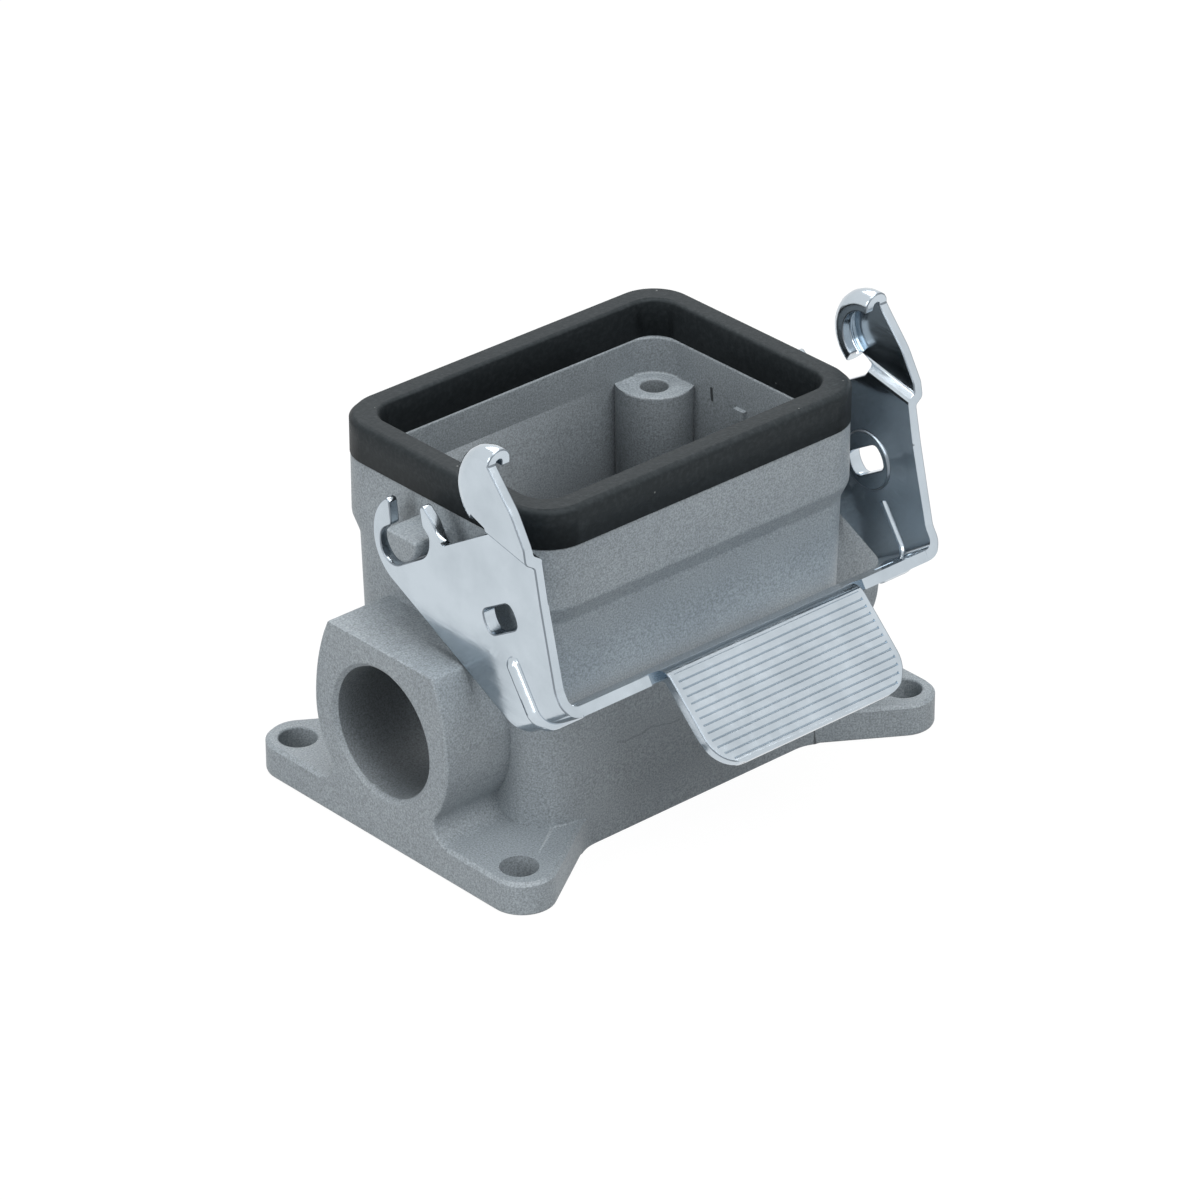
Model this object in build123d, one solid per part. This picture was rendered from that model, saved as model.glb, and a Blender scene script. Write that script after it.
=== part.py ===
from build123d import *
from math import acos, asin, cos, radians, sin, sqrt, tan
import os

# Surface mounting housing of a heavy duty rectangular connector with one locking lever.
# All sizes in mm. X runs along the long side, -Y is the lever side, +Z is up.
# The origin is the centre of the underside, where the housing sits on its panel.

# Base flange with four screw ears
flange_length = 80.2
flange_thickness = 5.0
flange_edge_chamfer = 0.5
ear_width = 56.2            # over the tips of the ears, front to back
ear_tip_r = 4.75
ear_slope_deg = 33.0        # slanted side of an ear against X
ear_root_r = 6.0
fixing_inset_x = 4.35       # screw axis from the end of the flange
fixing_inset_y = 4.9        # screw axis from the tip of the ear
fixing_hole_d = 5.4

# Body: drafted lower part, step, straight collar under the gasket
foot_length = 57.2
foot_width = 38.8
body_length = 58.6
body_width = 40.6
body_corner_r = 6.0
step_bottom_z = 37.0
step_top_z = 39.7
collar_length = 59.8
collar_width = 43.2
collar_corner_r = 6.5
rim_z = 48.9

# Cavity for the contact insert
cavity_length = 52.4
cavity_width = 35.4
cavity_corner_r = 4.6
cavity_draft = 0.8          # each side, from the rim to the floor
floor_thickness = 3.0

# Corner bosses that carry the insert
insert_pitch_x = 44.0
insert_pitch_y = 27.0
insert_hole_d = 3.9
insert_hole_depth = 12.0
boss_r = 5.74
boss_shift = 1.2            # boss centre outside the screw axis, in X and in Y
boss_top_z = 43.4

# Small locating nib on the closed end of the cavity
nib_width = 2.0
nib_height = 1.5
nib_reach = 0.8
nib_top_z = 43.4

# Entry blocks: the -X one is bored for the cable gland, the +X one is closed
entry_axis_z = 17.1
entry_bore_d = 19.1
entry_mouth_chamfer = 0.6
entry_end_wall = 3.0
block_r = 13.8              # lower half of the block section, about the bore axis
block_top_z = 30.15
block_top_half = 10.85
block_foot_r = 2.5

# Pivot pins on the collar ends
pivot_z = 45.2
pin_d = 6.0
pin_end_x = 35.9
pin_flat = 0.7              # flat on top of the pin, above the pivot axis

# Rim gasket and the tongue it is pushed over
gasket_length = 60.0
gasket_width = 43.5
gasket_corner_r = 6.7
gasket_bore_length = 52.7
gasket_bore_width = 35.7
gasket_bore_r = 3.9
gasket_height = 5.7
gasket_outer_chamfer = 0.8
gasket_inner_chamfer = 0.5
tongue_thickness = 1.5
tongue_height = 2.4
groove_clearance = 0.1

# Locking lever: one bent sheet, arms at both ends, drawn in the open position.
# Side view points are (y, z) from the pivot axis.
sheet = 1.5
arm_inner_x = 33.2
bend_inner_r = 1.5
pin_clearance = 0.15
stop_gap = 0.15             # between the open lever and the edge of the entry block
back_edge_deg = 26.84
bar_tilt_deg = 33.7
bar_drop = 30.1             # outer face of the bar from the pivot axis, square to the bar
bar_start = 7.0             # back edge of the bar ahead of the pivot axis, along the bar
bar_width = 11.2
heel_r = 0.9
toe_r = 0.3
nose = (7.15, 1.88)         # rear end of the arm behind the pin
nose_r = 7.1
nose_top = (3.85, 4.87)     # rear corner of the notch mouth
hook_tip = (-2.25, 6.85)    # point of the hook in front of the notch
hook_front = (-5.1, 4.45)
hook_front_r = 6.0
valley = (-7.1, 1.5)        # lowest point between the hook and the finger
shoulder = (-16.9, 7.4)
throat = (-17.9, 8.75)
crown_front = (-19.0, 17.1)
crown_front_r = 2.0
brow = (-22.6, 13.0)
brow_r = 8.0
step_top = (-25.1, 8.7)     # front edge where the finger meets the arm
step_foot = (-25.5, 6.6)
step_r = 1.5
front_upper = (-26.75, 0.4)
front_upper_r = 20.0
front_lower = (-29.5, -11.3)
front_lower_r = 3.0
arm_corner_r = 0.6          # rounding of the small corners of the arm
joggle = 1.4                # sideways step between the arm and its finger
joggle_run = 0.8
joggle_start = 11.9
joggle_tilt_deg = 12.45
finger_centre = (-17.5, 13.6)
lip_ring_r = 4.6
lip_inner_r = 0.5
lip_leg = 0.7
lip_from_deg = -54.0
lip_to_deg = 98.0
lip_facets = 8              # flats round the outside of the rolled edge

# Tool hole in each arm, drawn inward
tool_hole = (-18.4, -4.9)
tool_hole_d = 6.8
tool_hole_flats = 3.7
tool_hole_corner_r = 1.3
tool_hole_tilt_deg = 30.2    # the flats against Y
dish_r = 6.2
dish_depth = 0.2
dish_slope = 1.6
swell_r = 7.4               # raised area round the hole on the inner side
swell_height = 0.45
draw_r = 4.3
draw_height = 0.85          # drawn collar, from the inner side of the arm

# Stiffening bead from each arm round the bend onto the bar
bead_from_back = 4.8
bead_up_arm = 6.4
bead_end_x = 28.0
bead_r = 1.65
bead_sink = 0.95
bead_groove_r = 0.75

# Thumb tab on the bar
tab_half = 17.8
tab_corner = (-32.35, -12.80)
tab_end = (-43.71, -23.72)
tab_bend_r = 2.3
tab_corner_r = 5.0
relief_width = 1.8
relief_depth = 2.2
tab_groove_count = 13
tab_groove_pitch = 1.125
tab_groove_first = 1.1      # from the free end of the tab
tab_groove_width = 0.45
tab_groove_depth = 0.18
tab_groove_margin = 0.9

# Values that follow from the ones above
fixing_pitch_x = flange_length - 2 * fixing_inset_x
fixing_pitch_y = ear_width - 2 * fixing_inset_y
pin_r = pin_d / 2
notch_r = pin_r + pin_clearance
arm_outer_x = arm_inner_x + sheet
bend_outer_r = bend_inner_r + sheet
bar_half = arm_inner_x - bend_inner_r
gasket_top_z = rim_z + gasket_height


def corner_point(a, b):
    """Vector of a flat point, for drawing in a work plane."""
    return Vector(a, b, 0)


def rounded_outline(corners):
    """Face inside a closed run of (a, b, radius) corners."""
    starts = []
    middles = []
    ends = []
    count = len(corners)
    for i in range(count):
        here = corner_point(*corners[i][:2])
        radius = corners[i][2]
        before = (corner_point(*corners[i - 1][:2]) - here).normalized()
        after = (corner_point(*corners[(i + 1) % count][:2]) - here).normalized()
        half = radians(before.get_angle(after)) / 2
        inward = (before + after).normalized()
        reach = radius / tan(half)
        starts.append(here + before * reach)
        middles.append(here + inward * (radius / sin(half) - radius))
        ends.append(here + after * reach)
    edges = []
    for i in range(count):
        if (starts[i] - ends[i - 1]).length < 0.002:
            starts[i] = ends[i - 1]
        else:
            edges.append(Edge.make_line(ends[i - 1], starts[i]))
        if corners[i][2] > 0:
            edges.append(Edge.make_three_point_arc(starts[i], middles[i], ends[i]))
        else:
            ends[i] = starts[i]
    return Face(Wire(edges))


def four_places(pitch_x, pitch_y, z):
    """Places at the corners of a pitch rectangle."""
    places = []
    for sx in (-1, 1):
        for sy in (-1, 1):
            places.append(Pos(sx * pitch_x / 2, sy * pitch_y / 2, z))
    return places


def block_ring(length, width, corner_r, z0, z1):
    """Straight block with rounded upright corners."""
    return Pos(0, 0, z0) * extrude(RectangleRounded(length, width, corner_r), z1 - z0)


def drafted_block(low, high, z0, z1):
    """Block between two (length, width, corner radius) sections."""
    bottom = Pos(0, 0, z0) * RectangleRounded(*low)
    top = Pos(0, 0, z1) * RectangleRounded(*high)
    return loft([bottom, top], ruled=True)


def make_flange():
    """Flat base plate with four ears and their fixing holes."""
    slope = radians(ear_slope_deg)
    tip_x = flange_length / 2 - ear_tip_r
    tip_y = ear_width / 2 - ear_tip_r
    side = -sin(slope) * tip_x + cos(slope) * tip_y + ear_tip_r
    outer_x = flange_length / 2
    outer_y = (side + sin(slope) * outer_x) / cos(slope)
    root_y = foot_width / 2
    root_x = (cos(slope) * root_y - side) / sin(slope)
    corners = [
        (outer_x, -outer_y, ear_tip_r),
        (outer_x, outer_y, ear_tip_r),
        (root_x, root_y, ear_root_r),
        (-root_x, root_y, ear_root_r),
        (-outer_x, outer_y, ear_tip_r),
        (-outer_x, -outer_y, ear_tip_r),
        (-root_x, -root_y, ear_root_r),
        (root_x, -root_y, ear_root_r),
    ]
    plate = extrude(rounded_outline(corners), flange_thickness)
    plate = chamfer(plate.faces().sort_by(Axis.Z)[-1].edges(), flange_edge_chamfer)
    for place in four_places(fixing_pitch_x, fixing_pitch_y, flange_thickness / 2):
        plate -= place * Cylinder(fixing_hole_d / 2, 2 * flange_thickness)
    return plate


def make_body():
    """Outer form of the body from the base to the rim."""
    lower = drafted_block(
        (foot_length, foot_width, body_corner_r),
        (body_length, body_width, body_corner_r),
        0,
        step_bottom_z,
    )
    step = drafted_block(
        (body_length, body_width, body_corner_r),
        (collar_length, collar_width, collar_corner_r),
        step_bottom_z,
        step_top_z,
    )
    collar = block_ring(collar_length, collar_width, collar_corner_r, step_top_z, rim_z)
    return lower + step + collar


def make_entry_block():
    """Entry block through both ends: round below, slightly curved sides, flat top."""
    rise = block_top_z - entry_axis_z
    narrowing = block_r - block_top_half
    side_r = (narrowing ** 2 + rise ** 2) / (2 * narrowing)
    side_mid = asin(rise / side_r) / 2
    foot_z = flange_thickness + block_foot_r
    foot_y = sqrt((block_r + block_foot_r) ** 2 - (entry_axis_z - foot_z) ** 2)
    share = block_r / (block_r + block_foot_r)
    neck = (foot_y * share, entry_axis_z - (entry_axis_z - foot_z) * share)
    turn = asin((entry_axis_z - neck[1]) / block_r) / 2
    foot_turn = asin((foot_z - neck[1]) / block_foot_r)
    foot_mid = (radians(-90) + radians(-180) - foot_turn) / 2
    side_point = (block_r - side_r + side_r * cos(side_mid), entry_axis_z + side_r * sin(side_mid))
    round_point = (block_r * cos(turn), entry_axis_z - block_r * sin(turn))
    foot_point = (foot_y + block_foot_r * cos(foot_mid), foot_z + block_foot_r * sin(foot_mid))
    half = [
        Edge.make_line(corner_point(0, block_top_z), corner_point(block_top_half, block_top_z)),
        Edge.make_three_point_arc(
            corner_point(block_top_half, block_top_z),
            corner_point(*side_point),
            corner_point(block_r, entry_axis_z),
        ),
        Edge.make_three_point_arc(
            corner_point(block_r, entry_axis_z),
            corner_point(*round_point),
            corner_point(*neck),
        ),
        Edge.make_three_point_arc(
            corner_point(*neck),
            corner_point(*foot_point),
            corner_point(foot_y, flange_thickness),
        ),
        Edge.make_line(corner_point(foot_y, flange_thickness), corner_point(foot_y, 0)),
        Edge.make_line(corner_point(foot_y, 0), corner_point(0, 0)),
    ]
    section = Face(Wire(half + [edge.mirror(Plane.YZ) for edge in half]))
    start = Plane(origin=(-flange_length / 2, 0, 0), x_dir=(0, 1, 0), z_dir=(1, 0, 0))
    return extrude(start * section, flange_length, dir=(1, 0, 0))


def make_cavity():
    """Room for the insert, drafted down to the floor."""
    return drafted_block(
        (cavity_length - 2 * cavity_draft, cavity_width - 2 * cavity_draft, cavity_corner_r),
        (cavity_length, cavity_width, cavity_corner_r),
        floor_thickness,
        rim_z,
    )


def make_entries():
    """Cable bore at -X and the blind recess behind the closed +X block."""
    inside = cavity_length / 2 - 2 * cavity_draft
    bore_length = flange_length / 2 - inside
    lying = Rot(0, 90, 0)
    bore = Pos(-inside - bore_length / 2, 0, entry_axis_z) * lying * Cylinder(entry_bore_d / 2, bore_length)
    mouth = Pos(-flange_length / 2 + entry_mouth_chamfer / 2, 0, entry_axis_z) * lying * Cone(
        entry_bore_d / 2 + entry_mouth_chamfer, entry_bore_d / 2, entry_mouth_chamfer
    )
    recess_length = bore_length - entry_end_wall
    recess = Cylinder(entry_bore_d / 2, recess_length)
    recess = Pos(inside + recess_length / 2, 0, entry_axis_z) * lying * recess
    return bore + mouth + recess


def make_bosses(envelope):
    """Four corner columns with screw holes, kept inside the body walls."""
    height = boss_top_z - floor_thickness
    columns = []
    for place in four_places(insert_pitch_x + 2 * boss_shift, insert_pitch_y + 2 * boss_shift, 0):
        column = place * Pos(0, 0, floor_thickness + height / 2) * Cylinder(boss_r, height)
        columns.append(column & envelope)
    return columns


def make_pin():
    """Pivot pin at +X, flattened on top."""
    start = collar_length / 2 - 1.0
    length = pin_end_x - start
    pin = Pos(start + length / 2, 0, pivot_z) * Rot(0, 90, 0) * Cylinder(pin_r, length)
    flat = Pos(start + length / 2, 0, pivot_z + pin_flat + pin_r) * Box(2 * length, 2 * pin_d, 2 * pin_r)
    return pin - flat


def make_tongue(clearance):
    """Ring on the rim that the gasket is pushed over; the clearance turns it into the groove."""
    middle_length = (gasket_length + gasket_bore_length) / 2
    middle_width = (gasket_width + gasket_bore_width) / 2
    middle_r = (gasket_corner_r + gasket_bore_r) / 2
    grow = tongue_thickness / 2 + clearance
    top_z = rim_z + tongue_height + clearance
    outer = block_ring(middle_length + 2 * grow, middle_width + 2 * grow, middle_r + grow, rim_z, top_z)
    inner = block_ring(middle_length - 2 * grow, middle_width - 2 * grow, middle_r - grow, rim_z, top_z)
    return outer - inner


def make_housing():
    """The whole casting."""
    body = make_body()
    envelope = body + make_flange() + make_entry_block()
    housing = envelope - make_cavity() - make_entries()
    for column in make_bosses(body):
        housing += column
    for place in four_places(insert_pitch_x, insert_pitch_y, boss_top_z - insert_hole_depth / 2):
        housing -= place * Cylinder(insert_hole_d / 2, insert_hole_depth)
    nib_x = cavity_length / 2 - nib_reach
    nib_length = nib_reach + 1.0
    nib = Box(nib_length, nib_width, nib_height)
    housing += Pos(nib_x + nib_length / 2, 0, nib_top_z - nib_height / 2) * nib
    pin = make_pin()
    housing = housing + pin + mirror(pin, about=Plane.YZ)
    return housing + make_tongue(0)


def make_gasket():
    """Rim gasket with a groove underneath."""
    outer = block_ring(gasket_length, gasket_width, gasket_corner_r, rim_z, gasket_top_z)
    outer = chamfer(outer.faces().sort_by(Axis.Z)[-1].edges(), gasket_outer_chamfer)
    bore = block_ring(gasket_bore_length, gasket_bore_width, gasket_bore_r, rim_z, gasket_top_z)
    ring = outer - bore
    inner_edges = ring.faces().sort_by(Axis.Z)[-1].inner_wires()[0].edges()
    ring = chamfer(inner_edges, gasket_inner_chamfer)
    return ring - make_tongue(groove_clearance)


def side_plane(x):
    """Work plane of the lever's side view, pivot axis at its origin."""
    return Plane(origin=(x, 0, pivot_z), x_dir=(0, 1, 0), z_dir=(1, 0, 0))


def across_plane(tilt_deg, along=0.0):
    """Plane with X across the lever and its normal along a side view direction."""
    tilt = radians(tilt_deg)
    ahead = Vector(0, -cos(tilt), sin(tilt))
    return Plane(origin=Vector(0, 0, pivot_z) + ahead * along, x_dir=(1, 0, 0), z_dir=ahead)


def from_bar_frame(along, up):
    """Side view point from its distances along the bar's width and square to the bar."""
    tilt = radians(bar_tilt_deg)
    return -along * cos(tilt) + up * sin(tilt), along * sin(tilt) + up * cos(tilt)


def back_edge_at(y):
    """Height of the arm's straight back edge, held off the block edge by the stop gap."""
    slope = tan(radians(back_edge_deg))
    gap = stop_gap / cos(radians(back_edge_deg))
    return block_top_z - pivot_z + gap + slope * (y + block_top_half)


def arm_outline():
    """Side view of one arm with its pin notch, hook notch and finger."""
    tilt = radians(bar_tilt_deg)
    edge = radians(back_edge_deg)
    back = from_bar_frame(bar_start, -bar_drop)
    drop = back[1] - back_edge_at(back[0])
    shift = drop * cos(edge) / sin(tilt + edge)
    heel = from_bar_frame(bar_start - shift, -bar_drop)
    toe = from_bar_frame(bar_start + bar_width, -bar_drop)
    corners = [
        (*heel, heel_r),
        (nose[0], back_edge_at(nose[0]), nose_r),
        (*nose, nose_r),
        (*nose_top, arm_corner_r),
        (1.05 * notch_r, 0.22 * notch_r, 0.25 * notch_r),
        (1.78 * notch_r, -0.29 * notch_r, 0.76 * notch_r),
        (1.78 * notch_r, -2.28 * notch_r, 0.79 * notch_r),
        (-1.38 * notch_r, -0.32 * notch_r, 1.09 * notch_r),
        (-1.38 * notch_r, 0.56 * notch_r, 0.25 * notch_r),
        (-0.95 * notch_r, 0.95 * notch_r, 0.32 * notch_r),
        (*hook_tip, arm_corner_r),
        (*hook_front, hook_front_r),
        (*valley, arm_corner_r),
        (*shoulder, arm_corner_r),
        (*throat, arm_corner_r),
    ]
    steps = 3
    sweep_deg = (lip_to_deg - lip_from_deg) / steps
    tangent_r = lip_ring_r / cos(radians(sweep_deg / 2))
    first = radians(lip_from_deg)
    corners.append((
        finger_centre[0] + lip_ring_r * cos(first),
        finger_centre[1] + lip_ring_r * sin(first),
        0,
    ))
    for i in range(steps):
        turn = radians(lip_from_deg + sweep_deg * (i + 0.5))
        corners.append((
            finger_centre[0] + tangent_r * cos(turn),
            finger_centre[1] + tangent_r * sin(turn),
            lip_ring_r * 0.9999,
        ))
    last = radians(lip_to_deg)
    corners.append((
        finger_centre[0] + lip_ring_r * cos(last),
        finger_centre[1] + lip_ring_r * sin(last),
        0,
    ))
    corners += [
        (*crown_front, crown_front_r),
        (*brow, brow_r),
        (*step_top, step_r),
        (*step_foot, step_r),
        (*front_upper, front_upper_r),
        (*front_lower, front_lower_r),
        (*toe, toe_r),
    ]
    return rounded_outline(corners)


def make_arm():
    """Arm at +X: bend, arm plate, joggled finger."""
    far = flange_length
    low = joggle_start
    ramp = sqrt(joggle ** 2 + joggle_run ** 2)
    lag = sheet * (ramp - joggle_run) / joggle
    plate = rounded_outline([
        (arm_inner_x, -far, 0),
        (arm_outer_x, -far, 0),
        (arm_outer_x, low - lag, 0.5),
        (arm_outer_x + joggle, low - lag + joggle_run, 0.9),
        (arm_outer_x + joggle, far, 0),
        (arm_inner_x + joggle, far, 0),
        (arm_inner_x + joggle, low + joggle_run, 0.5),
        (arm_inner_x, low, 0.9),
    ])
    plate = extrude(across_plane(-joggle_tilt_deg, -far) * plate, 2 * far)
    under = Pos(arm_inner_x, bend_outer_r - bar_drop - far) * Rectangle(4 * far, 2 * far)
    plate -= extrude(across_plane(bar_tilt_deg, -far) * under, 2 * far)
    ring = Circle(bend_outer_r) - Circle(bend_inner_r)
    quarter = Pos(bend_outer_r / 2, -bend_outer_r / 2) * Rectangle(bend_outer_r, bend_outer_r)
    bend = Pos(bar_half, bend_outer_r - bar_drop) * (ring & quarter)
    bend = extrude(across_plane(bar_tilt_deg, -far) * bend, 2 * far)
    outline = extrude(side_plane(0) * arm_outline(), far)
    return (plate + bend) & outline


def make_lip():
    """Rolled edge of the +X finger, turned inward over its crown."""
    outer_r = lip_inner_r + sheet
    middle_x = arm_outer_x + joggle - outer_r
    first = radians(lip_from_deg)
    plane = Plane(
        origin=(0, finger_centre[0], pivot_z + finger_centre[1]),
        x_dir=(0, cos(first), sin(first)),
        z_dir=(0, sin(first), -cos(first)),
    )
    side = plane.y_dir.X
    turns = [radians(180 * i / lip_facets - 90) for i in range(lip_facets + 1)]
    outside = [(outer_r * cos(turn), side * outer_r * sin(turn)) for turn in turns]
    inside = [(lip_inner_r * cos(turn), side * lip_inner_r * sin(turn)) for turn in reversed(turns[::2])]
    leg = [(-lip_leg, -side * lip_inner_r), (-lip_leg, -side * outer_r)]
    section = Face(Wire.make_polygon([corner_point(*place) for place in outside + inside + leg], close=True))
    section = plane * Pos(lip_ring_r, side * middle_x) * section
    axis = Axis((0, finger_centre[0], pivot_z + finger_centre[1]), (1, 0, 0))
    return revolve(section, axis, lip_to_deg - lip_from_deg)


def bead_path(x_arm, turn_r, level):
    """Run down the arm, round the bend and along the bar."""
    bend_up = bend_outer_r - bar_drop
    top = bend_up + bead_up_arm
    plane = across_plane(bar_tilt_deg, bar_start + bead_from_back)
    diagonal = turn_r * sqrt(0.5)
    edges = [
        Edge.make_line(corner_point(x_arm, top), corner_point(x_arm, bend_up)),
        Edge.make_three_point_arc(
            corner_point(x_arm, bend_up),
            corner_point(bar_half + diagonal, bend_up - diagonal),
            corner_point(bar_half, level),
        ),
        Edge.make_line(corner_point(bar_half, level), corner_point(bead_end_x, level)),
    ]
    return plane * Wire(edges)


def rounded_bar(path, radius, depth):
    """Bar with a rounded back on the outer side of the lever and rounded ends, cut off below the depth."""
    steps = 5
    widest = acos(depth / radius)
    turns = [widest * (2 * i / steps - 1) for i in range(steps + 1)]
    back = [(radius * sin(turn), -radius * cos(turn)) for turn in turns]
    ahead = across_plane(bar_tilt_deg).z_dir
    section = Face(Wire.make_polygon([corner_point(*place) for place in back], close=True))
    run = Plane(origin=path @ 0, x_dir=ahead, z_dir=path % 0)
    bar = sweep(run * section, path=path)
    half = section & (Pos(radius / 2, 0) * Rectangle(radius, 2 * radius))
    for end in (0, 1):
        place = Plane(origin=path @ end, x_dir=ahead, z_dir=path % end)
        bar += revolve(place * half, Axis(place.origin, place.y_dir), 360)
    return bar


def make_tool_hole():
    """What the drawn hole adds to the +X arm, and what it takes away."""
    place = Pos(0, tool_hole[0], pivot_z + tool_hole[1]) * Rot(0, 90, 0)
    draw = place * Pos(0, 0, arm_inner_x - draw_height / 2) * Cylinder(draw_r, draw_height)
    swell = place * Pos(0, 0, arm_inner_x - swell_height / 2) * Cone(draw_r, swell_r, swell_height)
    dish = place * Pos(0, 0, arm_outer_x - dish_depth / 2) * Cone(dish_r - dish_slope, dish_r, dish_depth)
    slot = Circle(tool_hole_d / 2) & RectangleRounded(tool_hole_d, tool_hole_flats, tool_hole_corner_r)
    slot = side_plane(arm_inner_x - sheet) * Pos(*tool_hole) * Rot(0, 0, -tool_hole_tilt_deg) * slot
    return draw + swell, dish + extrude(slot, 3 * sheet)


def corner_under(point, ahead, down):
    """Inner corner of the bent sheet under an outer corner."""
    half_turn = radians(down.get_angle(ahead)) / 2
    inward = (down - ahead).normalized()
    return point + inward * (sheet / cos(half_turn))


def make_tab():
    """Thumb tab, bent down from the front edge of the bar, with grip grooves."""
    tilt = radians(bar_tilt_deg)
    ahead = Vector(-cos(tilt), sin(tilt))
    corner = Vector(*tab_corner)
    tip = Vector(*tab_end)
    down = (tip - corner).normalized()
    under = Vector(-down.Y, down.X)
    root = bar_start + bar_width - 3 * tab_bend_r
    root_top = Vector(*from_bar_frame(root, sheet - bar_drop))
    root_under = Vector(*from_bar_frame(root, -bar_drop))
    inner = corner_under(corner, ahead, down)
    tip_under = tip + under * sheet
    profile = rounded_outline([
        (root_top.X, root_top.Y, 0),
        (corner.X, corner.Y, tab_bend_r),
        (tip.X, tip.Y, 0.3),
        (tip_under.X, tip_under.Y, 0.3),
        (inner.X, inner.Y, tab_bend_r - sheet),
        (root_under.X, root_under.Y, 0),
    ])
    tab = extrude(side_plane(-tab_half) * profile, 2 * tab_half)
    face = Plane(
        origin=(0, tip.X, pivot_z + tip.Y),
        x_dir=(1, 0, 0),
        z_dir=(0, -under.X, -under.Y),
    )
    for side in (-1, 1):
        middle_x = side * (tab_half - tab_corner_r)
        square = Rectangle(tab_corner_r, tab_corner_r)
        square = Pos(middle_x + side * tab_corner_r / 2, tab_corner_r / 2) * square
        disc = Pos(middle_x, tab_corner_r) * Circle(tab_corner_r)
        waste = face * Pos(0, 0, -2 * sheet) * (square - disc)
        tab -= extrude(waste, 4 * sheet, dir=face.z_dir)
    for i in range(tab_groove_count):
        rise = tab_groove_first + i * tab_groove_pitch
        inset = 0
        if rise < tab_corner_r:
            inset = tab_corner_r - sqrt(tab_corner_r ** 2 - (tab_corner_r - rise) ** 2)
        reach = tab_half - tab_groove_margin - inset
        middle = tip - down * rise
        left = middle - down * (tab_groove_width / 2)
        right = middle + down * (tab_groove_width / 2)
        root_point = middle + under * tab_groove_depth
        groove = Face(Wire.make_polygon([left, right, root_point], close=True))
        tab -= extrude(side_plane(-reach) * groove, 2 * reach)
    return tab


def make_bar():
    """Flat bar that joins the two arms, with relief slots beside the tab."""
    strip = Pos(0, sheet / 2 - bar_drop) * Rectangle(2 * bar_half, sheet)
    bar = extrude(across_plane(bar_tilt_deg, bar_start) * strip, bar_width)
    front = across_plane(bar_tilt_deg, bar_start + bar_width - relief_depth)
    for side in (-1, 1):
        slot = Pos(side * (tab_half + relief_width / 2), -bar_drop) * Rectangle(relief_width, 4 * sheet)
        bar -= extrude(front * slot, 2 * relief_depth)
    return bar


def make_lever():
    """The whole lever: bar, tab, two arms with rolled fingers, beads and drawn holes."""
    added, taken = make_tool_hole()
    arm = make_arm() + make_lip() + added - taken
    lever = make_bar() + arm + mirror(arm, about=Plane.YZ) + make_tab()
    bead_line = bead_path(arm_outer_x - bead_sink, bend_outer_r - bead_sink, bead_sink - bar_drop)
    bead = rounded_bar(bead_line, bead_r, bead_sink - sheet / 4)
    groove_line = bead_path(arm_inner_x, bend_inner_r, sheet - bar_drop)
    groove = rounded_bar(groove_line, bead_groove_r, -bead_groove_r / 4)
    lever = lever + bead + mirror(bead, about=Plane.YZ)
    return lever - groove - mirror(groove, about=Plane.YZ)


os.makedirs("parts", exist_ok=True)
export_step(make_housing(), "parts/housing.step")
export_step(make_gasket(), "parts/gasket.step")
export_step(make_lever(), "parts/locking_lever.step")
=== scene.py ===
import math

import bmesh
import bpy
from mathutils import Matrix, Vector
from mathutils.bvhtree import BVHTree
from mathutils.geometry import intersect_point_line


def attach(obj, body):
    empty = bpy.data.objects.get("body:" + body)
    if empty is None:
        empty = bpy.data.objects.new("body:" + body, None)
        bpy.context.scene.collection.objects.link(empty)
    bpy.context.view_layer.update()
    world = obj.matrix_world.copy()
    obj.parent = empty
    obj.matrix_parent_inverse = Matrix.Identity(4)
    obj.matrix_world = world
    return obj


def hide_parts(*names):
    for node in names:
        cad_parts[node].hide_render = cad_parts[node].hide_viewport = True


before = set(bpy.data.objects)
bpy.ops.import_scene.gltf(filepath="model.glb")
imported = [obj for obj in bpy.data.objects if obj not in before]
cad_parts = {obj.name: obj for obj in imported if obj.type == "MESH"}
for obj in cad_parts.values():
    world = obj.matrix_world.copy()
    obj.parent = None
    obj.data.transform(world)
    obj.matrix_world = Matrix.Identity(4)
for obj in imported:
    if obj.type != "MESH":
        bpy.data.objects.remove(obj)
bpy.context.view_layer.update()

# Lengths are in metres, angles in degrees, and pattern scales in repeats per metre
# A pattern has a scale, a detail, and the noise values that stand for none and all of it
# A relief has a scale, a detail, a strength and a height

# Camera at the photograph's place
CAMERA_AZIMUTH = -42.10
CAMERA_ELEVATION = 29.01
CAMERA_ROLL = -0.05
CAMERA_DISTANCE = 0.870
CAMERA_AIM = Vector((0.00061, -0.00503, 0.0250))
CAMERA_LENS = 190.1
CAMERA_SENSOR = 36
CAMERA_SHIFT = (-0.0248, -0.0017)
CAMERA_CLIP = (0.01, 50)

# Grey powder paint
PAINT_GREY = (0.250, 0.284, 0.309, 1)
PAINT_GREY_WORN = (0.277, 0.312, 0.336, 1)
PAINT_CLOUD = (90, 4, 0.35, 0.65)
PAINT_GRAIN = (4200, 2, 0.3, 0.7)
PAINT_GRAIN_DARK = (0.62, 0.62, 0.62, 1)
PAINT_GRAIN_LIGHT = (1.20, 1.20, 1.20, 1)
ORANGE_PEEL = (2200, 2, 0.30, 0.0002)
PAINT_ROUGHNESS = 0.52
PAINT_SHINE = 0.42

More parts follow.
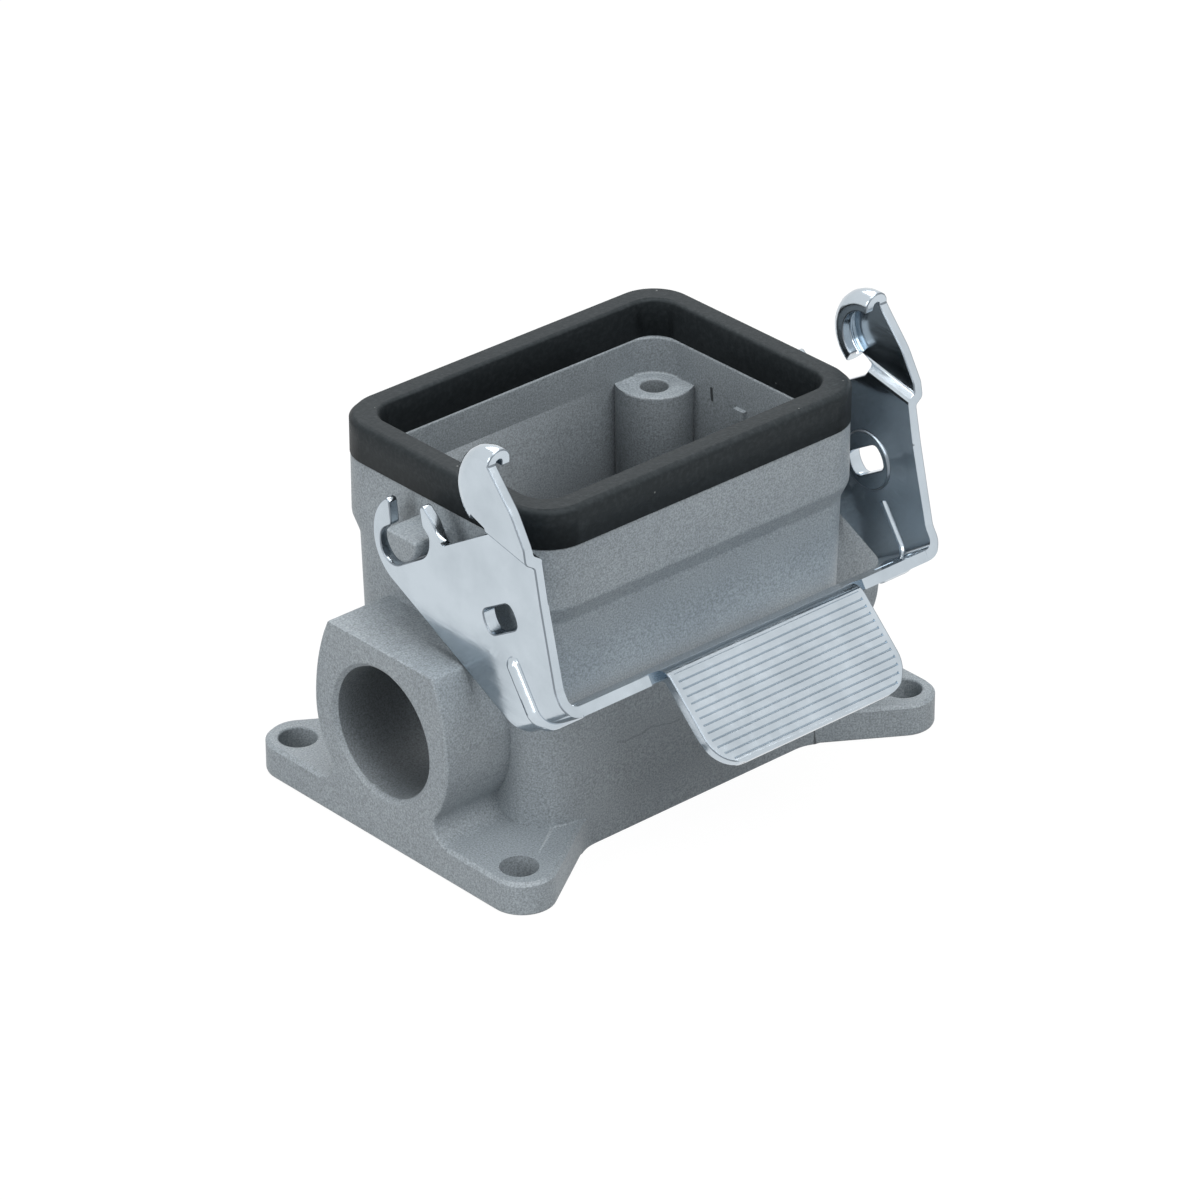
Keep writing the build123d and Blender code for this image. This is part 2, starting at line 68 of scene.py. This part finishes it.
# Painted shade: colour darkened on the walls of the cavity, and in the cable bore
CAVITY_HALF_X = 0.0264
CAVITY_HALF_Y = 0.0179
CAVITY_RIM_Z = 0.0488
CAVITY_DARK_Z = 0.0300
CAVITY_TOP_PAINTED_SHADE = 0.12
CAVITY_DEEP_PAINTED_SHADE = 0.55
WALL_UPWARD = 0.5           # how far a wall's normal may point up
LEDGE_UPWARD = 0.9          # and from where a face is a ledge or the floor
BORE_AXIS_Z = 0.0171
BORE_R = 0.0096
BORE_MOUTH_X = 0.0396
BORE_DARK_X = 0.0340
BORE_END_FADE = 0.0005
BORE_MOUTH_PAINTED_SHADE = 0.15
BORE_DEEP_PAINTED_SHADE = 0.52
SOFT_BORDER = 0.0001

# Two small flaws of the casting, each with the scale of x, y and z, its ends, its width and the share
# of the colour lost, where a mark reaches further along an axis that is scaled down
FLOW_LINE = ((1.0, 0.2, 1.0), (-0.0147, -0.0196, 0.0145), (-0.0033, -0.0196, 0.0138), 0.00020, 0.24)
FLOW_WAVE_SCALE = 330
FLOW_WAVE_REACH = (0.0018, 0, 0.0018)
WALL_NICK = ((0.1, 1.0, 1.0), (0.0262, 0.0062, 0.0442), (0.0262, 0.0060, 0.0426), 0.00040, 0.90)

# Black rubber
RUBBER_BLACK = (0.0100, 0.0125, 0.0140, 1)
RUBBER_DUSTY = (0.0210, 0.0245, 0.0270, 1)
RUBBER_BLOOM = (1500, 5, 0.45, 0.75)
RUBBER_GRAIN = (2200, 3, 0.3, 0.00015)
RUBBER_ROUGHNESS = 0.58
RUBBER_SHINE = 0.22
RUBBER_SHINE_TINT = (0.84, 0.95, 1.0, 1)
DUST_GREY = (0.16, 0.17, 0.17, 1)
DUST_SCALE = 330
SPECK_CORE = 0.035          # size of a dust speck's full part, in cells
SPECK_RIM = 0.055           # and of its soft rim
SPECK_DRAW = (0.55, 0.56)   # draws below the first have no speck, those above the second have one

# Zinc plated sheet
ZINC_BRIGHT = (0.545, 0.61, 0.665, 1)
ZINC_DULL = (0.47, 0.53, 0.58, 1)
ZINC_CLOUD = (140, 4, 0.35, 0.7)
ZINC_STREAKS = (700, 4, 0.3, 0.7)
ZINC_SMOOTHEST = 0.11
ZINC_ROUGHEST = 0.22
ZINC_WAVES = (260, 3, 0.05, 0.0004)
ZINC_FINE = (1900, 3, 0.10, 0.0001)
ROLLED_STRETCH = (1.0, 0.25, 1.0)
# Dark line on the rounded edges of the sheet, a painted reflection of dark surroundings
ZINC_EDGE_PAINTED_DARK = (0.20, 0.23, 0.26, 1)
PAINTED_EDGE_ROUGHNESS = 0.35

# Edge rounding of the casting and of the stamped sheet
FLAT_ANGLE = 0.5
DOUBLES_DISTANCE = 1e-6
CAST_EDGE = 0.00035
CAST_SHARP_ANGLE = 20
STAMPED_EDGE = 0.00018
STAMPED_SHARP_ANGLE = 28
ROUNDING_SEGMENTS = 2
ROUNDING_PASSES = 8
SHORTEST_EDGE = 1e-7
FACE_DEPTH = 2.2            # least depth of a face behind a rounded edge, in rounding widths
STRAY_SHARE = 0.5           # how far a rounding may leave the surface, in rounding widths
STRAY_DIGITS = 5            # digits that tell two stray places apart
FOLD_SHARE = 1.1            # how far the fill of a face may outgrow the face
STRAY_REACH = 1.3           # edges this near to a stray place stay sharp, in its distance
ROUNDING_REACH = 2          # plus this many rounding widths
SHADING_WEIGHT = 100        # most weight for large faces

# Boxes, for the size of x and y, whose edges stay sharp: rounding would fold or eat their small forms
SHARP_BOXES = (
    ((0.0245, 0.0000, 0.0060), (0.0275, 0.0110, 0.0280)),       # inner mouth of the cable bore
    ((0.0248, 0.0000, 0.0415), (0.0266, 0.0016, 0.0440)),       # nib in the cavity
    ((0.0283, 0.0000, 0.0040), (0.0303, 0.0160, 0.0320)),       # seam of the end blocks
    ((0.0244, 0.0086, 0.0429), (0.0266, 0.0112, 0.0436)),       # tips of the bosses on the end walls
    ((0.0170, 0.0146, 0.0429), (0.0196, 0.0182, 0.0436)),       # tips of the bosses on the side walls
    ((0.0172, 0.0260, 0.0260), (0.0200, 0.0330, 0.0330)),       # slots beside the tab
)

# Floor: a share of what the camera sees is plain white, the rest shows light and shadow
FLOOR_SIZE = 30
FLOOR_Z = -0.0001
FLOOR_GREY = (0.35, 0.35, 0.35, 1)
FLOOR_ROUGHNESS = 0.9
FLOOR_WHITE = 1.12
FLOOR_WHITE_SHARE = 0.86

# Light: the surroundings, and square soft boxes turned to one point, each with its watts and place
WHITE = (1, 1, 1, 1)
WORLD_STRENGTH = 0.175
LAMP_SIZE = 0.8
LAMP_AIM = Vector((0, 0, 0.03))
LAMPS = {
    "left_box": (8.8, (-1.22, 0.00, 0.47)),
    "high_box": (3.5, (-0.43, -0.48, 1.16)),
    "front_box": (9.8, (0.11, -0.90, 0.97)),
    "top_box": (8.9, (0.00, -0.05, 1.33)),
    "back_box": (6.0, (0.42, 0.72, 1.03)),
}


def named_material(name):
    """Empty node material and its nodes, links and shader."""
    material = bpy.data.materials.new(name)
    material.use_nodes = True
    nodes = material.node_tree.nodes
    return material, nodes, material.node_tree.links, nodes["Principled BSDF"]


def object_coordinates(nodes):
    """The coordinates every pattern reads: the piece's own metres."""
    return nodes.new("ShaderNodeTexCoord").outputs["Object"]


def fill(links, socket, value):
    """Feed a socket from another one, or set it to a constant."""
    if isinstance(value, bpy.types.NodeSocket):
        links.new(value, socket)
    else:
        socket.default_value = value


def noise(nodes, links, place, scale, detail=2):
    """Outputs of a noise pattern on the given coordinates."""
    node = nodes.new("ShaderNodeTexNoise")
    node.inputs["Scale"].default_value = scale
    node.inputs["Detail"].default_value = detail
    links.new(place, node.inputs["Vector"])
    return node.outputs


def spread(nodes, links, value, low, high, out_low=0, out_high=1):
    """Value stretched from one range to another, and cut off at its ends."""
    node = nodes.new("ShaderNodeMapRange")
    node.inputs["From Min"].default_value = low
    node.inputs["From Max"].default_value = high
    node.inputs["To Min"].default_value = out_low
    node.inputs["To Max"].default_value = out_high
    links.new(value, node.inputs["Value"])
    return node.outputs["Result"]


def pattern(nodes, links, place, scale, detail, low, high, out_low=0, out_high=1):
    """Noise pattern stretched to the given values."""
    value = noise(nodes, links, place, scale, detail)["Fac"]
    return spread(nodes, links, value, low, high, out_low, out_high)


def blend_colours(nodes, links, share, first, second, blend="MIX"):
    """Colour blended from two, by the share."""
    node = nodes.new("ShaderNodeMix")
    node.data_type = "RGBA"
    node.blend_type = blend
    fill(links, node.inputs["Factor"], share)
    fill(links, node.inputs["A"], first)
    fill(links, node.inputs["B"], second)
    return node.outputs["Result"]


def calculate(nodes, links, operation, *values):
    """Result of one sum on sockets or numbers."""
    node = nodes.new("ShaderNodeMath")
    node.operation = operation
    for socket, value in zip(node.inputs, values):
        fill(links, socket, value)
    return node.outputs["Value"]


def chained(nodes, links, operation, first, *others):
    """Result of one sum repeated over several sockets or numbers."""
    for other in others:
        first = calculate(nodes, links, operation, first, other)
    return first


def calculate_vector(nodes, links, operation, *values):
    """Outputs of one sum on vectors, sockets or constants."""
    node = nodes.new("ShaderNodeVectorMath")
    node.operation = operation
    for socket, value in zip(node.inputs, values):
        fill(links, socket, value)
    return node.outputs


def scaled(nodes, links, vector, scale):
    """Vector or colour made longer or brighter by a factor."""
    node = nodes.new("ShaderNodeVectorMath")
    node.operation = "SCALE"
    fill(links, node.inputs[0], vector)
    links.new(scale, node.inputs["Scale"])
    return node.outputs["Vector"]


def split(nodes, links, vector):
    """The three parts of a vector."""
    node = nodes.new("ShaderNodeSeparateXYZ")
    links.new(vector, node.inputs["Vector"])
    return node.outputs


def relief(nodes, links, place, scale, detail, strength, height, below=None):
    """Small relief from a noise pattern, on top of the one below where there is one."""
    node = nodes.new("ShaderNodeBump")
    node.inputs["Strength"].default_value = strength
    node.inputs["Distance"].default_value = height
    links.new(noise(nodes, links, place, scale, detail)["Fac"], node.inputs["Height"])
    if below is not None:
        links.new(below, node.inputs["Normal"])
    return node.outputs["Normal"]


def thin_mark(nodes, links, place, scale, start, end, width, depth):
    """Share of the colour lost on a thin line between two points, with the axes scaled."""
    start = Vector(scale) * Vector(start)
    run = Vector(scale) * Vector(end) - start
    scaled_place = calculate_vector(nodes, links, "MULTIPLY", place, scale)["Vector"]
    away = calculate_vector(nodes, links, "SUBTRACT", scaled_place, start)["Vector"]
    along = calculate_vector(nodes, links, "DOT_PRODUCT", away, run)["Value"]
    share = calculate(nodes, links, "DIVIDE", along, run.length_squared)
    foot = scaled(nodes, links, run, spread(nodes, links, share, 0, 1))
    gap = calculate_vector(nodes, links, "DISTANCE", away, foot)["Value"]
    return spread(nodes, links, gap, width / 2, width, depth, 0)


def shaken(nodes, links, place, scale, reach):
    """Coordinates pushed about by a noise pattern."""
    push = noise(nodes, links, place, scale)["Color"]
    level = calculate_vector(nodes, links, "SUBTRACT", push, (0.5, 0.5, 0.5))["Vector"]
    return calculate_vector(nodes, links, "MULTIPLY_ADD", level, reach, place)["Vector"]


def below_limit(nodes, links, value, limit):
    """One where the value's size is under the limit, with a soft border."""
    size = calculate(nodes, links, "ABSOLUTE", value)
    return spread(nodes, links, size, limit - SOFT_BORDER, limit, 1, 0)


def cavity_painted_shade(nodes, links, x, y, z):
    """Share of the colour taken away as painted shade on the walls of the cavity, more further down."""
    normal = nodes.new("ShaderNodeTexCoord").outputs["Normal"]
    upward = split(nodes, links, normal)["Z"]
    wall = spread(nodes, links, upward, WALL_UPWARD, LEDGE_UPWARD, 1, 0)
    depth = spread(nodes, links, z, CAVITY_RIM_Z, CAVITY_DARK_Z, CAVITY_TOP_PAINTED_SHADE, CAVITY_DEEP_PAINTED_SHADE)
    inside_x = below_limit(nodes, links, x, CAVITY_HALF_X)
    inside_y = below_limit(nodes, links, y, CAVITY_HALF_Y)
    return chained(nodes, links, "MULTIPLY", inside_x, inside_y, depth, wall)


def bore_painted_shade(nodes, links, x, y, z):
    """Share of the colour taken away as painted shade in the cable bore, more further in."""
    height = calculate(nodes, links, "SUBTRACT", z, BORE_AXIS_Z)
    across = calculate(nodes, links, "POWER", y, 2)
    square = calculate(nodes, links, "MULTIPLY_ADD", height, height, across)
    inner_r = BORE_R - SOFT_BORDER / 2
    outer_r = BORE_R + SOFT_BORDER / 2
    inside = spread(nodes, links, square, inner_r ** 2, outer_r ** 2, 1, 0)
    inward = spread(nodes, links, x, -BORE_MOUTH_X, -BORE_DARK_X, BORE_MOUTH_PAINTED_SHADE, BORE_DEEP_PAINTED_SHADE)
    end = spread(nodes, links, x, -CAVITY_HALF_X, -CAVITY_HALF_X + BORE_END_FADE, 1, 0)
    return chained(nodes, links, "MULTIPLY", inside, inward, end)


def powder_paint():
    """Matt grey powder paint with a fine orange peel, and painted shade in the cavity and the cable bore.
    """
    material, nodes, links, shader = named_material("powder_paint")
    place = object_coordinates(nodes)
    cloud = pattern(nodes, links, place, *PAINT_CLOUD)
    base = blend_colours(nodes, links, cloud, PAINT_GREY, PAINT_GREY_WORN)
    speckle = pattern(nodes, links, place, *PAINT_GRAIN)
    grain = blend_colours(nodes, links, speckle, PAINT_GRAIN_DARK, PAINT_GRAIN_LIGHT)
    sprayed = blend_colours(nodes, links, 1, base, grain, "MULTIPLY")

    x, y, z = split(nodes, links, place)
    wavy = shaken(nodes, links, place, FLOW_WAVE_SCALE, FLOW_WAVE_REACH)
    # Painted shade in the cavity and the cable bore, and the two flaws of the casting
    painted_shade_and_flaws = chained(
        nodes, links, "MAXIMUM",
        cavity_painted_shade(nodes, links, x, y, z),
        bore_painted_shade(nodes, links, x, y, z),
        thin_mark(nodes, links, wavy, *FLOW_LINE),
        thin_mark(nodes, links, place, *WALL_NICK),
    )
    kept = calculate(nodes, links, "SUBTRACT", 1, painted_shade_and_flaws)
    links.new(scaled(nodes, links, sprayed, kept), shader.inputs["Base Color"])
    links.new(relief(nodes, links, place, *ORANGE_PEEL), shader.inputs["Normal"])
    shader.inputs["Roughness"].default_value = PAINT_ROUGHNESS
    shader.inputs["Specular IOR Level"].default_value = PAINT_SHINE
    return material


def dust_specks(nodes, links, place):
    """One on a few small specks, zero between them."""
    cells = nodes.new("ShaderNodeTexVoronoi")
    cells.inputs["Scale"].default_value = DUST_SCALE
    links.new(place, cells.inputs["Vector"])
    near = spread(nodes, links, cells.outputs["Distance"], SPECK_CORE, SPECK_RIM, 1, 0)
    draw = split(nodes, links, cells.outputs["Color"])["X"]
    chosen = spread(nodes, links, draw, *SPECK_DRAW)
    return calculate(nodes, links, "MULTIPLY", near, chosen)


def rim_rubber():
    """Black rubber, satin, with a trace of talc, a few dust specks and fine mould grain."""
    material, nodes, links, shader = named_material("rim_rubber")
    place = object_coordinates(nodes)
    bloom = pattern(nodes, links, place, *RUBBER_BLOOM)
    colour = blend_colours(nodes, links, bloom, RUBBER_BLACK, RUBBER_DUSTY)
    dusty = blend_colours(nodes, links, dust_specks(nodes, links, place), colour, DUST_GREY)
    links.new(dusty, shader.inputs["Base Color"])
    links.new(relief(nodes, links, place, *RUBBER_GRAIN), shader.inputs["Normal"])
    shader.inputs["Roughness"].default_value = RUBBER_ROUGHNESS
    shader.inputs["Specular IOR Level"].default_value = RUBBER_SHINE
    shader.inputs["Specular Tint"].default_value = RUBBER_SHINE_TINT
    return material


def bright_zinc():
    """Bright zinc plating on rolled sheet steel."""
    material, nodes, links, shader = named_material("bright_zinc")
    place = object_coordinates(nodes)
    stretch = nodes.new("ShaderNodeMapping")
    stretch.inputs["Scale"].default_value = ROLLED_STRETCH
    links.new(place, stretch.inputs["Vector"])
    rolled = stretch.outputs["Vector"]
    cloud = pattern(nodes, links, place, *ZINC_CLOUD)
    links.new(blend_colours(nodes, links, cloud, ZINC_BRIGHT, ZINC_DULL), shader.inputs["Base Color"])
    rough = pattern(nodes, links, rolled, *ZINC_STREAKS, ZINC_SMOOTHEST, ZINC_ROUGHEST)
    links.new(rough, shader.inputs["Roughness"])
    fine = relief(nodes, links, rolled, *ZINC_FINE)
    links.new(relief(nodes, links, rolled, *ZINC_WAVES, fine), shader.inputs["Normal"])
    shader.inputs["Metallic"].default_value = 1.0
    return material


def zinc_edge_painted_reflection():
    """Thin dark line along the rounded sheared edges: a painted reflection of dark surroundings."""
    material, nodes, links, shader = named_material("zinc_edge_painted_reflection")
    shader.inputs["Base Color"].default_value = ZINC_EDGE_PAINTED_DARK
    shader.inputs["Roughness"].default_value = PAINTED_EDGE_ROUGHNESS
    shader.inputs["Metallic"].default_value = 1.0
    return material


def stays_sharp(point):
    """Whether a point lies in one of the boxes without rounding."""
    place = (abs(point.x), abs(point.y), point.z)
    return any(
        all(least <= part <= most for least, part, most in zip(low, place, high))
        for low, high in SHARP_BOXES
    )


def roundable_edges(work, width, sharp_angle):
    """Numbers of all sharp edges, and the ends of those with faces deep enough to round."""
    sharp = set()
    ends = {}
    for edge in work.edges:
        if len(edge.link_faces) != 2 or edge.calc_face_angle(0) < math.radians(sharp_angle):
            continue
        sharp.add(edge.index)
        if stays_sharp((edge.verts[0].co + edge.verts[1].co) / 2):
            continue
        length = max(edge.calc_length(), SHORTEST_EDGE)
        depth = min(face.calc_area() for face in edge.link_faces) / length
        if depth > FACE_DEPTH * width:
            ends[edge.index] = (edge.verts[0].co.copy(), edge.verts[1].co.copy())
    return sharp, ends


def folded_places(shape):
    """Middles of the faces whose fill triangles overlap."""
    shape.calc_loop_triangles()
    filled = [0.0] * len(shape.polygons)
    for triangle in shape.loop_triangles:
        filled[triangle.polygon_index] += triangle.area
    return [face.center.copy() for face in shape.polygons if filled[face.index] > FOLD_SHARE * face.area]


def stray_places(piece, surface, width):
    """Places where the rounding folds a face or leaves the surface, each with its distance."""
    shape = piece.evaluated_get(bpy.context.evaluated_depsgraph_get()).data
    strays = {tuple(place): 0.0 for place in folded_places(shape)}
    for vertex in shape.vertices:
        distance = surface.find_nearest(vertex.co)[3]
        if distance > STRAY_SHARE * width:
            strays[tuple(round(part, STRAY_DIGITS) for part in vertex.co)] = distance
    return strays


def segment_distance(point, first, second):
    """Distance from a point to the line between two others."""
    share = intersect_point_line(point, first, second)[1]
    return (point - first.lerp(second, min(max(share, 0), 1))).length


def mark_edges(mesh, weights, sharp, ends):
    """Choose the edges to round, and keep the other sharp ones sharp in the shading."""
    for index, weight in enumerate(weights.data):
        weight.value = 1.0 if index in ends else 0.0
        mesh.edges[index].use_edge_sharp = index in sharp and index not in ends
    mesh.update()


def spare_edges(ends, strays, width):
    """Take the edges near a stray place out of those to round."""
    for place, distance in strays.items():
        reach = STRAY_REACH * distance + ROUNDING_REACH * width
        point = Vector(place)
        for index in [key for key, pair in ends.items() if segment_distance(point, *pair) < reach]:
            del ends[index]


def add_rounding(piece, width, edge_material):
    """Rounding that follows the weights of the edges."""
    rounding = piece.modifiers.new("edge_rounding", "BEVEL")
    rounding.width = width
    rounding.segments = ROUNDING_SEGMENTS
    rounding.limit_method = "WEIGHT"
    rounding.use_clamp_overlap = False
    # Where one is given, the rounded faces take the edge material: on the zinc, the painted dark edge
    # line
    if edge_material:
        piece.data.materials.append(edge_material)
        rounding.material = 1


def round_edges(piece, width, sharp_angle, edge_material):
    """Round the sharp edges, apart from those where the rounding would leave the surface."""
    mesh = piece.data
    work = bmesh.new()
    work.from_mesh(mesh)
    surface = BVHTree.FromBMesh(work)
    sharp, ends = roundable_edges(work, width, sharp_angle)
    work.free()
    weights = mesh.attributes.new("bevel_weight_edge", "FLOAT", "EDGE")
    add_rounding(piece, width, edge_material)
    for _ in range(ROUNDING_PASSES):
        mark_edges(mesh, weights, sharp, ends)
        strays = stray_places(piece, surface, width)
        if not strays:
            break
        spare_edges(ends, strays, width)


def steady_shading(piece):
    """Keep the large faces flat shaded up to their smooth borders."""
    steady = piece.modifiers.new("steady_shading", "WEIGHTED_NORMAL")
    steady.weight = SHADING_WEIGHT
    steady.keep_sharp = True


def join_flat_faces(mesh):
    """Merge the loose triangles, and join those that lie in one plane."""
    work = bmesh.new()
    work.from_mesh(mesh)
    bmesh.ops.remove_doubles(work, verts=work.verts, dist=DOUBLES_DISTANCE)
    bmesh.ops.dissolve_limit(
        work,
        angle_limit=math.radians(FLAT_ANGLE),
        verts=work.verts,
        edges=work.edges,
    )
    work.to_mesh(mesh)
    work.free()


def dressed(node, name, material, body, edge=0, sharp_angle=0, edge_material=None):
    """Smooth shaded copy of a CAD node, with slightly rounded edges where an edge width is given."""
    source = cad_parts[node]
    mesh = source.data.copy()
    mesh.name = name
    piece = bpy.data.objects.new(name, mesh)
    bpy.context.scene.collection.objects.link(piece)
    join_flat_faces(mesh)
    mesh.materials.clear()
    mesh.materials.append(material)
    for polygon in mesh.polygons:
        polygon.use_smooth = True
    if edge:
        round_edges(piece, edge, sharp_angle, edge_material)
    steady_shading(piece)
    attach(piece, body)
    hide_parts(node)
    source.hide_render = True


def white_rays(nodes, links):
    """One for the rays that meet plain white: the camera's own, and those off metal and through glass."""
    path = nodes.new("ShaderNodeLightPath").outputs
    return chained(
        nodes, links, "MAXIMUM",
        path["Is Camera Ray"], path["Is Glossy Ray"], path["Is Transmission Ray"],
    )


def blend_shaders(nodes, links, share, first, second, output):
    """Send a blend of two shaders to the output socket."""
    seen = nodes.new("ShaderNodeMixShader")
    links.new(share, seen.inputs["Fac"])
    links.new(first, seen.inputs[1])
    links.new(second, seen.inputs[2])
    links.new(seen.outputs["Shader"], output)


def make_floor():
    """Pale floor that shows as plain white with a trace of the object's shadow."""
    bpy.ops.mesh.primitive_plane_add(size=FLOOR_SIZE, location=(0, 0, FLOOR_Z))
    floor = bpy.context.object
    floor.name = "floor"
    material, nodes, links, shader = named_material("floor_white")
    shader.inputs["Base Color"].default_value = FLOOR_GREY
    shader.inputs["Roughness"].default_value = FLOOR_ROUGHNESS
    white = nodes.new("ShaderNodeEmission")
    white.inputs["Strength"].default_value = FLOOR_WHITE
    share = calculate(nodes, links, "MULTIPLY", white_rays(nodes, links), FLOOR_WHITE_SHARE)
    surface = nodes["Material Output"].inputs["Surface"]
    blend_shaders(nodes, links, share, shader.outputs["BSDF"], white.outputs["Emission"], surface)
    floor.data.materials.append(material)


def light_world():
    """Even surroundings, plain white to the camera and in reflections."""
    world = bpy.data.worlds.new("studio")
    bpy.context.scene.world = world
    world.use_nodes = True
    nodes = world.node_tree.nodes
    links = world.node_tree.links
    background = nodes["Background"]
    background.inputs["Color"].default_value = WHITE
    background.inputs["Strength"].default_value = WORLD_STRENGTH
    white = nodes.new("ShaderNodeBackground")
    white.inputs["Color"].default_value = WHITE
    white.inputs["Strength"].default_value = 1.0
    share = white_rays(nodes, links)
    surface = nodes["World Output"].inputs["Surface"]
    blend_shaders(
        nodes, links, share,
        background.outputs["Background"], white.outputs["Background"], surface,
    )


def soft_box(name, power, place):
    """Square area lamp turned to the object."""
    data = bpy.data.lights.new(name, "AREA")
    data.shape = "RECTANGLE"
    data.size = LAMP_SIZE
    data.size_y = LAMP_SIZE
    data.energy = power
    lamp = bpy.data.objects.new(name, data)
    bpy.context.scene.collection.objects.link(lamp)
    lamp.location = place
    lamp.rotation_mode = "QUATERNION"
    lamp.rotation_quaternion = (LAMP_AIM - Vector(place)).to_track_quat("-Z", "Y")


def make_camera():
    """Camera at the photograph's place."""
    azimuth = math.radians(CAMERA_AZIMUTH)
    elevation = math.radians(CAMERA_ELEVATION)
    back = Vector((
        math.sin(azimuth) * math.cos(elevation),
        -math.cos(azimuth) * math.cos(elevation),
        math.sin(elevation),
    ))
    data = bpy.data.cameras.new("camera")
    data.sensor_width = CAMERA_SENSOR
    data.lens = CAMERA_LENS
    data.shift_x, data.shift_y = CAMERA_SHIFT
    data.clip_start, data.clip_end = CAMERA_CLIP
    camera = bpy.data.objects.new("camera", data)
    bpy.context.scene.collection.objects.link(camera)
    camera.location = CAMERA_AIM + back * CAMERA_DISTANCE
    camera.rotation_mode = "QUATERNION"
    level = (-back).to_track_quat("-Z", "Y")
    roll = Matrix.Rotation(math.radians(CAMERA_ROLL), 4, back).to_quaternion()
    camera.rotation_quaternion = roll @ level
    bpy.context.scene.camera = camera


paint = powder_paint()
rubber = rim_rubber()
zinc = bright_zinc()
zinc_painted_edge_line = zinc_edge_painted_reflection()

dressed("housing", "cast_housing", paint, "base", CAST_EDGE, CAST_SHARP_ANGLE)
dressed("gasket", "rim_gasket", rubber, "base")
# The lever's rounded edges carry the painted reflection of dark surroundings
dressed(
    "locking_lever", "zinc_lever", zinc, "lever",
    STAMPED_EDGE, STAMPED_SHARP_ANGLE, zinc_painted_edge_line,
)

make_floor()
light_world()
for lamp_name, (lamp_power, lamp_place) in LAMPS.items():
    soft_box(lamp_name, lamp_power, lamp_place)
make_camera()

bpy.context.scene.view_settings.view_transform = "Standard"
